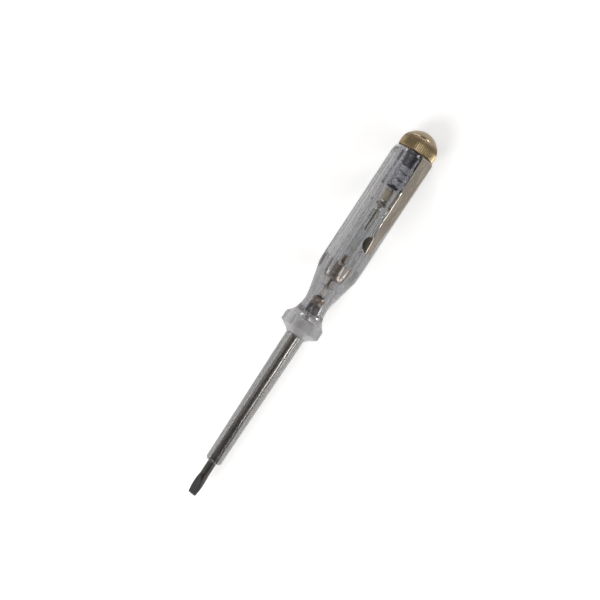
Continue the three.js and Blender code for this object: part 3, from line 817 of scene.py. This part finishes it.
def handle_point(along, radius, angle):
    """Cuts the round blank to the octagon, and the thread into its bore."""
    angle = gathered(angle)
    if radius > WAIST_RADIUS and along < (HANDLE_START + HANDLE_END) / 2:
        rise = (radius - WAIST_RADIUS) / (FULL_RADIUS - WAIST_RADIUS)
        apothem = softer_least(radius, FLAT_RADIUS)
        radius = apothem + eased(rise, *FACET_FADE) * (octagon_radius(angle, apothem) - apothem)
    elif radius > WAIST_RADIUS:
        radius = softer_least(radius, octagon_radius(angle))
    if abs(radius - BORE_RADIUS) < WELD and along > BORE_THREAD_FROM:
        fade = eased(along, BORE_THREAD_FROM, BORE_THREAD_FROM + THREAD_PITCH)
        fade *= 1 - eased(along, HANDLE_END - 2 * FIT, HANDLE_END - FIT)
        radius += BORE_THREAD_DEPTH * fade * thread_height(along, angle)
    return radius, angle


def handle():
    """The clear handle; it casts no shadow, so that light reaches what is inside it."""
    piece = turned("handle_shell", handle_outline(), FACETS * FACET_STEPS)
    shaped(piece, handle_point)
    dress(piece, "handle", handle_plastic(), "clear_plastic", "handle_grip")
    piece.visible_shadow = False


# Sleeve
SLEEVE_MOUTH_RADIUS = 2.8
SLEEVE_TAPER_END = 60.95


def sleeve():
    """The clear tube on the shank: a rounded mouth, a slow taper and a straight seat."""
    start, end, outer = reach("blade_sleeve")
    lip = SLEEVE_MOUTH_RADIUS - SHANK_BORE
    outline = arc(start + lip, SHANK_BORE, lip, 180, 90, 10) + [(SLEEVE_TAPER_END, outer)]
    outline = spaced(outline, 3) + [(end, outer), (end, SHANK_BORE)]
    outline += spaced([(end, SHANK_BORE), outline[0]], 6)[1:]
    piece = turned("sleeve_tube", outline, 128)
    dress(piece, "handle", sleeve_plastic(), "sleeve_plastic", "blade_sleeve")
    piece.visible_shadow = False


# Blade
BLADE_END_WIDTH = 2.9
BLADE_WIDEST = 3.45
BLADE_WIDEST_AT = 4.2
BLADE_ROUND_FROM = 7.8
SHANK_RADIUS = 1.5
SHANK_ROUNDING = 0.15
BLADE_END_THICKNESS = 0.5
BLADE_GRIND_LENGTH = 7.0
BLADE_ROLL = 30
NECK_RADIUS = 0.8
NECK_LENGTH = 5.2
BLADE_SLOPE = (SHANK_RADIUS - BLADE_END_THICKNESS / 2) / BLADE_GRIND_LENGTH


def blade():
    """A turned shank that widens to the blade, cut down to two flats by planes."""
    start, end = reach("blade")[:2]
    neck = end - NECK_LENGTH
    widening = [
        (start, BLADE_END_WIDTH / 2),
        (BLADE_WIDEST_AT * 0.6, BLADE_WIDEST / 2 - 0.05),
        (BLADE_WIDEST_AT, BLADE_WIDEST / 2),
        (BLADE_WIDEST_AT + 1.6, BLADE_WIDEST / 2 - 0.06),
        (BLADE_ROUND_FROM, SHANK_RADIUS),
    ]
    back = rounded([
        (BLADE_ROUND_FROM, SHANK_RADIUS),
        (neck, SHANK_RADIUS),
        (neck, NECK_RADIUS),
        (end, NECK_RADIUS),
        (end, 0),
    ], SHANK_ROUNDING)
    outline = [(start, 0)] + spaced(spline(widening, 24), 0.3) + spaced(back[1:], 4)
    piece = turned("blade_shank", outline)
    roll = math.radians(BLADE_ROLL)
    out = Vector((0, math.sin(roll), math.cos(roll)))
    bpy.ops.object.mode_set(mode="EDIT")
    for side in (out, -out):
        bpy.ops.mesh.select_all(action="SELECT")
        bpy.ops.mesh.bisect(
            plane_co=side * BLADE_END_THICKNESS / 2 * MM,
            plane_no=side - Vector((BLADE_SLOPE, 0, 0)),
            use_fill=True, clear_outer=True)
    close_up()
    dress(piece, "handle", blade_steel(), "blade_steel", "blade", angle=25)


# Stack inside the handle
CONTACT_WIRE_RADIUS = 0.2
CONTACT_TURNS = 5.4
CAP_SPRING_RADIUS = 2.8
CAP_WIRE_RADIUS = 0.3
CAP_SPRING_TURNS = 2.75
COIL_START_SHARE = 0.625
COIL_STEPS = 56
WIRE_SIDES = 16
GLASS_WALL = 0.5
GLASS_HOLE = 0.62
GLASS_ROUNDING = 1.2


def stack():
    """All that lies in the bore, from the blade's neck to the cap."""
    dark = metal("stack_steel", BUSH_LIGHT, BUSH_DARK, roughness=0.3, along=14, across=0.4)
    brass = metal("plug_brass", PLUG_LIGHT, PLUG_DARK, roughness=0.3, along=16, across=0.4)
    nickel = metal(
        "plated_nickel", NICKEL_LIGHT, NICKEL_DARK, roughness=0.14, along=12, across=0.4)
    wire = metal("spring_wire", WIRE_LIGHT, WIRE_DARK, roughness=0.34, along=0.6, across=6)
    pale = metal("contact_wire", CONTACT_LIGHT, CONTACT_DARK, roughness=0.4, along=0.6, across=6)
    brown = metal(
        "electrode_steel", ELECTRODE_LIGHT, ELECTRODE_DARK, roughness=0.36, along=12, across=0.4)
    cup = metal("cup_nickel", CUP_LIGHT, CUP_DARK, roughness=0.28, along=12, across=0.4)
    anchor(dark)
    plug(brass)
    washer()
    contact_pin(nickel)
    lamp_cup(cup)
    electrodes(brown)
    lamp_cone(cup)
    lamp_envelope()
    resistor(pale)
    spring_seat(dark)
    springs(pale, wire)


def anchor(material):
    """Bush round the blade's neck, with a narrow rim at each end."""
    start, end, radius = reach("blade_anchor")
    rim, slope, hole = 0.35, 0.1, NECK_RADIUS + FIT
    low = radius - rim / 2
    fixed("anchor_bush", "blade_anchor", "dark_metal", material, [
        (start, hole), (start, radius), (start + rim, radius), (start + rim + slope, low),
        (end - rim - slope, low), (end - rim, radius), (end, radius), (end, hole), (start, hole),
    ], rounding=0.08)


def plug(material):
    """Small plug with a groove round its middle third."""
    start, end, radius = reach("contact_plug")
    groove, third = 0.3, (end - start) / 3
    fixed("brass_plug", "contact_plug", "brass", material, [
        (start, 0), (start, radius), (start + third, radius),
        (start + third + groove, radius - groove), (end - third - groove, radius - groove),
        (end - third, radius), (end, radius), (end, 0),
    ], rounding=0.12)


def washer():
    start, end, radius = reach("contact_washer")
    hole = 0.6
    fixed("fibre_washer", "contact_washer", "black_fibre", black_fibre(), [
        (start, hole), (start, radius), (end, radius), (end, hole), (start, hole),
    ], rounding=0.12, steps=4)


def contact_pin(material):
    """Flat head with a thin shaft that ends in a small bevel."""
    start, end, head = reach("contact_pin")
    shaft, thick, edge, bevel = 0.8, 0.5, 0.15, 0.2
    fixed("contact_rod", "contact_pin", "nickel", material, [
        (start, 0), (start, head - edge), (start + edge, head), (start + thick, head),
        (start + thick, shaft), (end - bevel, shaft), (end, shaft - bevel), (end, 0),
    ], sides=80)


def lamp_cup(material):
    """Cup round the lamp's front end, stepped outside, with a bead near its mouth."""
    start, end, radius = reach("lamp_front_cap")
    inner, floor_thick, lip, lip_length, bead = 2.72, 0.8, 0.3, 1.8, 0.12
    wall = radius - lip / 2
    fixed("lamp_cup", "lamp_front_cap", "nickel", material, [
        (start, 0), (start, radius - lip), (start + lip, radius),
        (start + lip_length, radius), (start + lip_length + 0.15, wall),
        (end - 0.7, wall), (end - 0.5, wall + bead), (end - 0.1, wall + bead), (end, wall),
        (end, inner), (start + floor_thick, inner), (start + floor_thick, 0),
    ], sides=112)


def electrodes(material):
    """The front one is a rod on a thin lead, the rear one is long and thin."""
    start, end, radius = reach("lamp_front_electrode")
    lead, head = 0.4, end - 2.7
    fixed("front_electrode", "lamp_front_electrode", "spring_steel", material, [
        (start, 0), (start, lead), (head, lead), (head, radius), (end, radius), (end, 0),
    ], rounding=0.3, steps=5, sides=72)
    start, end, radius = reach("lamp_rear_electrode")
    fixed("rear_electrode", "lamp_rear_electrode", "spring_steel", material, [
        (start, 0), (start, radius * 0.9), (end - 2, radius), (end, radius), (end, 0),
    ], rounding=0.25, steps=5, sides=64)


def lamp_cone(material):
    """Flared cap behind the lamp, its rim towards the resistor."""
    start, end, radius = reach("lamp_rear_cap")
    rim, tip, edge = 0.5, 0.7, 0.1
    fixed("lamp_cone", "lamp_rear_cap", "dark_metal", material, [
        (start, 0), (start, tip), (start + 0.9, tip + 0.1), (end - rim - 0.35, radius * 0.55),
        (end - rim, radius), (end - edge, radius), (end, radius - edge), (end, 0),
    ], rounding=0.12)


def lamp_envelope():
    """Glass tube, closed and rounded at both ends but for a hole for each lead."""
    start, end, radius = reach("lamp_glass")
    front, back, middle = start + GLASS_ROUNDING, end - GLASS_ROUNDING, radius - GLASS_ROUNDING
    bend = GLASS_ROUNDING - GLASS_WALL
    outline = [(start, GLASS_HOLE)]
    outline += arc(front, middle, GLASS_ROUNDING, 180, 90, 6)
    outline += arc(back, middle, GLASS_ROUNDING, 90, 0, 6)
    outline += [(end, GLASS_HOLE), (end - GLASS_WALL, GLASS_HOLE)]
    outline += arc(back, middle, bend, 0, 90, 6)
    outline += arc(front, middle, bend, 90, 180, 6)
    outline += [(start + GLASS_WALL, GLASS_HOLE), (start, GLASS_HOLE)]
    piece = turned("lamp_envelope", spaced(outline, 4))
    dress(piece, "handle", lamp_glass(), "lamp_glass", "lamp_glass")
    piece.visible_shadow = False


def resistor(material):
    """Two caps, each with a bead on the side of the body, and the body between them."""
    step, bead, half_bead = 0.1, 0.25, 0.12
    for node, name, front in (
            ("resistor_front_cap", "resistor_cap_front", True),
            ("resistor_rear_cap", "resistor_cap_rear", False)):
        start, end, radius = reach(node)
        low = radius - step
        lip = end - bead if front else start + bead
        fixed(name, node, "nickel", material, [
            (start, 0), (start, low), (lip - half_bead, low), (lip, radius),
            (lip + half_bead, low), (end, low), (end, 0),
        ], rounding=0.12)
    start, end, radius = reach("resistor_body")
    outline = [(start, 0), (start, radius), (end, radius), (end, 0)]
    fixed("resistor_tube", "resistor_body", "resistor_ceramic", resistor_ceramic(),
          spaced(outline, 1.4), rounding=0.15)


def spring_seat(material):
    """Disc with a low boss that centres the large spring."""
    start, end, radius = reach("spring_seat")
    boss, height = 1.6, 0.5
    fixed("spring_cup", "spring_seat", "dark_metal", material, [
        (start, 0), (start, radius), (end - height, radius),
        (end - height, boss), (end, boss - 0.1), (end, 0),
    ])


def coil(name, start, end, coil_radius, wire_radius, turns):
    """A spring of round wire wound right-handed, its wire closed at both ends."""
    length = end - start - 2 * wire_radius
    deselect()
    bpy.ops.mesh.primitive_circle_add(
        vertices=WIRE_SIDES, radius=wire_radius * MM, rotation=(math.pi / 2, 0, 0),
        location=((start + wire_radius) * MM, 0, coil_radius * MM))
    piece = bpy.context.object
    piece.name = piece.data.name = name
    bpy.ops.object.transform_apply(location=True, rotation=True, scale=True)
    piece.data.transform(Matrix.Rotation(-COIL_START_SHARE * 2 * math.pi, 4, "X"))
    screw = piece.modifiers.new("wind", "SCREW")
    screw.axis = "X"
    screw.angle = turns * 2 * math.pi
    screw.screw_offset = length * MM
    screw.steps = screw.render_steps = round(turns * COIL_STEPS)
    screw.use_merge_vertices = False
    bpy.ops.object.modifier_apply(modifier="wind")
    bpy.ops.object.mode_set(mode="EDIT")
    bpy.ops.mesh.select_all(action="SELECT")
    bpy.ops.mesh.fill_holes(sides=0)
    close_up()
    return piece


def springs(contact_metal, cap_metal):
    """The small spring by the plug, and the large one that follows the cap's stem."""
    start, end, radius = reach("contact_spring")
    piece = coil("contact_coil", start, end, radius - CONTACT_WIRE_RADIUS,
                 CONTACT_WIRE_RADIUS, CONTACT_TURNS)
    dress(piece, "handle", contact_metal, "spring_steel", "contact_spring")
    start, end = reach("compression_spring")[:2]
    piece = coil("cap_spring", start, end, CAP_SPRING_RADIUS, CAP_WIRE_RADIUS, CAP_SPRING_TURNS)
    stretch = ("handle", "spring", (start * MM, 0, 0), (end * MM, 0, 0))
    dress(piece, stretch, cap_metal, "spring_steel", "compression_spring")


# Brass cap
STEM_START, CAP_TOP = reach("end_cap")[:2]
STEM_RADIUS = 3.15
STEM_CHAMFER = 0.4
THREAD_DEPTH = 0.22
CAP_RADIUS = 6.5
CAP_HEIGHT = 7.78
CAP_EDGE = 0.25
CAP_DOME_RADIUS = 6.68
CAP_KNURLS = 60
KNURL_STEPS = 8
KNURL_DEPTH = 0.22
KNURL_SHARPNESS = 1.4
CAP_START = CAP_TOP - CAP_HEIGHT
CAP_SMOOTH_FROM = CAP_START + 5.0


def cap():
    """Stem, flat underside, straight rim and dome; thread and knurls are cut afterwards."""
    shoulder = math.degrees(math.asin(CAP_RADIUS / CAP_DOME_RADIUS))
    dome = arc(CAP_TOP - CAP_DOME_RADIUS, 0, CAP_DOME_RADIUS, shoulder, 0, 40)
    dome[-1] = (CAP_TOP, 0)
    thread_run = [(STEM_START + 0.35, STEM_RADIUS), (CAP_START - 0.25, STEM_RADIUS)]
    outline = [(STEM_START, 0), (STEM_START, STEM_RADIUS - STEM_CHAMFER)]
    outline += spaced(thread_run, THREAD_STEP)
    outline += rounded([
        (CAP_START, STEM_RADIUS),
        (CAP_START, CAP_RADIUS - CAP_EDGE),
        (CAP_START + CAP_EDGE, CAP_RADIUS),
        (CAP_START + 0.8, CAP_RADIUS),
    ], 0.1)
    outline += spaced([outline[-1], dome[0]], 0.3)[1:] + dome[1:]
    piece = turned("brass_cap", outline, CAP_KNURLS * KNURL_STEPS)
    shaped(piece, cap_point)
    dress(piece, "cap", cap_brass(), "brass", "end_cap")


def cap_point(along, radius, angle):
    """Cuts the thread into the stem and the knurls into the rim."""
    if along < CAP_START:
        if radius > STEM_RADIUS - WELD:
            fade = eased(along, STEM_START, STEM_START + THREAD_PITCH)
            fade *= 1 - eased(along, CAP_START - 0.6, CAP_START - 0.3)
            radius -= THREAD_DEPTH * fade * (1 - thread_height(along, angle))
    elif radius > CAP_RADIUS / 2:
        tooth = abs(math.sin(angle * CAP_KNURLS / 2)) ** KNURL_SHARPNESS
        fade = 1 - eased(along, CAP_SMOOTH_FROM - 0.7, CAP_SMOOTH_FROM)
        rim = eased(radius, CAP_RADIUS - 1.4, CAP_RADIUS - 0.9)
        radius -= KNURL_DEPTH * (1 - tooth) * fade * rim
    return radius, angle


# Pocket clip
CLIP_THICKNESS = 0.4
CLIP_EDGE = 0.13
CLIP_WIDTH = 5.2
CLIP_TIP_WIDTH = 3.8
CLIP_TAPER_LENGTH = 12.2
CLIP_TIP_ROUNDING = 1.3
CLIP_BEND_RADIUS = 1.2
CLIP_LENGTH = 35.0
CLIP_LIFT = 0.25
CLIP_TOUCH_GAP = 0.1
CLIP_FLARE_LENGTH = 14.2
CLIP_FLARE_RISE = 1.35
CLIP_BLEND_LENGTH = 16.0
CLIP_RING_GAP = 0.08
CLIP_RING_RADIUS = 5.9
CLIP_RING_HOLE = 3.35
CLIP_RING_JOIN = 25.1
EAR_LENGTH = 5.7
EAR_WIDTH = 2.48
EAR_SETBACK = 0.2
EAR_BEND = 33
EAR_ROWS = 10
FOLD_ROWS = 2
FOLD_STEP = 0.12
FLARE_STEPS = 44
# Shares of the flare's length and rise
FLARE_CURVE = [(0.61, -0.26), (0.47, 0.7), (0, 1)]


def select_edges(piece, test):
    """Selects the edges on the rim whose two ends, in millimetres, pass the test."""
    mesh = bmesh.from_edit_mesh(piece.data)
    for item in (mesh.verts, mesh.edges, mesh.faces):
        for part in item:
            part.select = False
    for edge in mesh.edges:
        if edge.is_boundary and all(test(vertex.co / MM) for vertex in edge.verts):
            edge.select_set(True)
    bmesh.update_edit_mesh(piece.data)


def place_selected(piece, across, position):
    """Moves each selected point to position(share, point), its share being 0 to 1 along across."""
    mesh = bmesh.from_edit_mesh(piece.data)
    points = [vertex for vertex in mesh.verts if vertex.select]
    far = [vertex.co.dot(across) for vertex in points]
    low, high = min(far), max(far)
    for vertex, value in zip(points, far):
        vertex.co = position((value - low) / (high - low), vertex.co / MM) * MM
    bmesh.update_edit_mesh(piece.data)


def ring_sheet(middle):
    """The clip's flat ring round the stem, left open in edit mode."""
    deselect()
    bpy.ops.mesh.primitive_circle_add(
        vertices=72, radius=CLIP_RING_RADIUS * MM, fill_type="NGON",
        rotation=(0, math.pi / 2, 0), location=(middle * MM, 0, 0))
    piece = bpy.context.object
    piece.name = piece.data.name = "pocket_clip"
    bpy.ops.object.transform_apply(location=True, rotation=True, scale=True)
    bpy.ops.object.mode_set(mode="EDIT")
    bpy.ops.mesh.select_mode(type="FACE")
    bpy.ops.mesh.select_all(action="SELECT")
    bpy.ops.mesh.inset(thickness=(CLIP_RING_RADIUS - CLIP_RING_HOLE) * MM, depth=0)
    bpy.ops.mesh.delete(type="FACE")
    bpy.ops.mesh.select_mode(type="EDGE")
    return piece


def arm_sides(along, root):
    """The arm's two edges at a place along it: it narrows to the folded one at its end."""
    end = root - CLIP_LENGTH
    fold = (CLIP_WIDTH + (CLIP_TIP_WIDTH - CLIP_WIDTH) * (root - along) / CLIP_LENGTH) / 2
    free = -fold * eased(along, end, end + CLIP_TAPER_LENGTH)
    into = max(end + CLIP_TIP_ROUNDING - along, 0) / CLIP_TIP_ROUNDING
    free = fold - (fold - free) * math.sqrt(max(1 - into ** 2, 0.0001))
    return free, fold


def ear(piece, end):
    """A half-round ear folded down from the arm's edge over the handle's corner."""
    fold = CLIP_TIP_WIDTH / 2 - 0.1
    select_edges(piece, lambda p: end - 0.1 < p.x < end + EAR_LENGTH + 0.1 and p.y > fold)
    for k in range(1, EAR_ROWS + 1):
        bend = math.radians(EAR_BEND * min(k / 3, 0.6 + 0.06 * k))
        width = FOLD_STEP
        if k > FOLD_ROWS:
            width = (EAR_WIDTH - FOLD_ROWS * FOLD_STEP) / (EAR_ROWS - FOLD_ROWS)
        step = Vector((0, math.cos(bend), -math.sin(bend))) * width
        bpy.ops.mesh.extrude_edges_move()
        place_selected(piece, Vector((1, 0, 0)), lambda share, point: (
            point + step * math.sqrt(max(1 - (2 * share - 1) ** 2, 0))))


def thickened(piece):
    """Gives the sheet its thickness and its small rounded edges."""
    thick = piece.modifiers.new("thickness", "SOLIDIFY")
    thick.thickness = CLIP_THICKNESS * MM
    thick.offset = 0
    thick.use_even_offset = True
    edges = piece.modifiers.new("edges", "BEVEL")
    edges.width = CLIP_EDGE * MM
    edges.segments = 3
    edges.limit_method = "ANGLE"
    edges.angle_limit = math.radians(50)
    bpy.ops.object.modifier_apply(modifier="thickness")
    bpy.ops.object.modifier_apply(modifier="edges")


def clip():
    """Ring, bend, arm and ear of one sheet, drawn on the upper facet, then turned to its own."""
    middle = HANDLE_END + CLIP_RING_GAP + CLIP_THICKNESS / 2
    arm = FLAT_RADIUS + CLIP_LIFT + CLIP_THICKNESS / 2
    touch = FLAT_RADIUS + CLIP_TOUCH_GAP + CLIP_THICKNESS / 2
    root, bend_height = middle - CLIP_BEND_RADIUS, arm - CLIP_BEND_RADIUS
    clip_end = root - CLIP_LENGTH
    half = CLIP_WIDTH / 2
    rows = [(along, height, -half, half)
            for along, height in arc(root, bend_height, CLIP_BEND_RADIUS, 0, 90, 10)]
    flare = [(clip_end + CLIP_FLARE_LENGTH, arm)]
    flare += [(clip_end + along * CLIP_FLARE_LENGTH, touch + rise * CLIP_FLARE_RISE)
              for along, rise in FLARE_CURVE]
    straight = [(along, arm) for along, _ in spaced([(root, bend_height), flare[0]], 3)[1:-1]]
    rows += [(along, height, *arm_sides(along, root))
             for along, height in straight + curve(flare, FLARE_STEPS)]

    # The ring's upper edge is drawn out to a straight line, over the bend and along the arm
    piece = ring_sheet(middle)
    join = CLIP_RING_RADIUS * math.sin(math.radians(CLIP_RING_JOIN))
    select_edges(piece, lambda p: p.z > CLIP_RING_HOLE + 1 and abs(p.y) < join)
    for along, height, low, high in rows:
        bpy.ops.mesh.extrude_edges_move()
        place_selected(piece, Vector((0, 1, 0)), lambda share, point: Vector(
            (along, low + (high - low) * share, height)))
    ear(piece, clip_end + EAR_SETBACK)
    close_up()
    thickened(piece)
    piece.data.transform(Matrix.Rotation(math.pi / 4, 4, "X"))
    bpy.ops.object.mode_set(mode="EDIT")
    close_up()
    flex = ("handle", "clip", (root * MM, 0, 0), ((root - CLIP_BLEND_LENGTH) * MM, 0, 0))
    plate = metal("clip_nickel", CLIP_LIGHT, CLIP_DARK, roughness=0.2, along=0.25, across=7)
    dress(piece, flex, plate, "nickel", "clip_collar", "clip_arm")


camera()
studio()
floor()
handle()
sleeve()
blade()
stack()
cap()
clip()
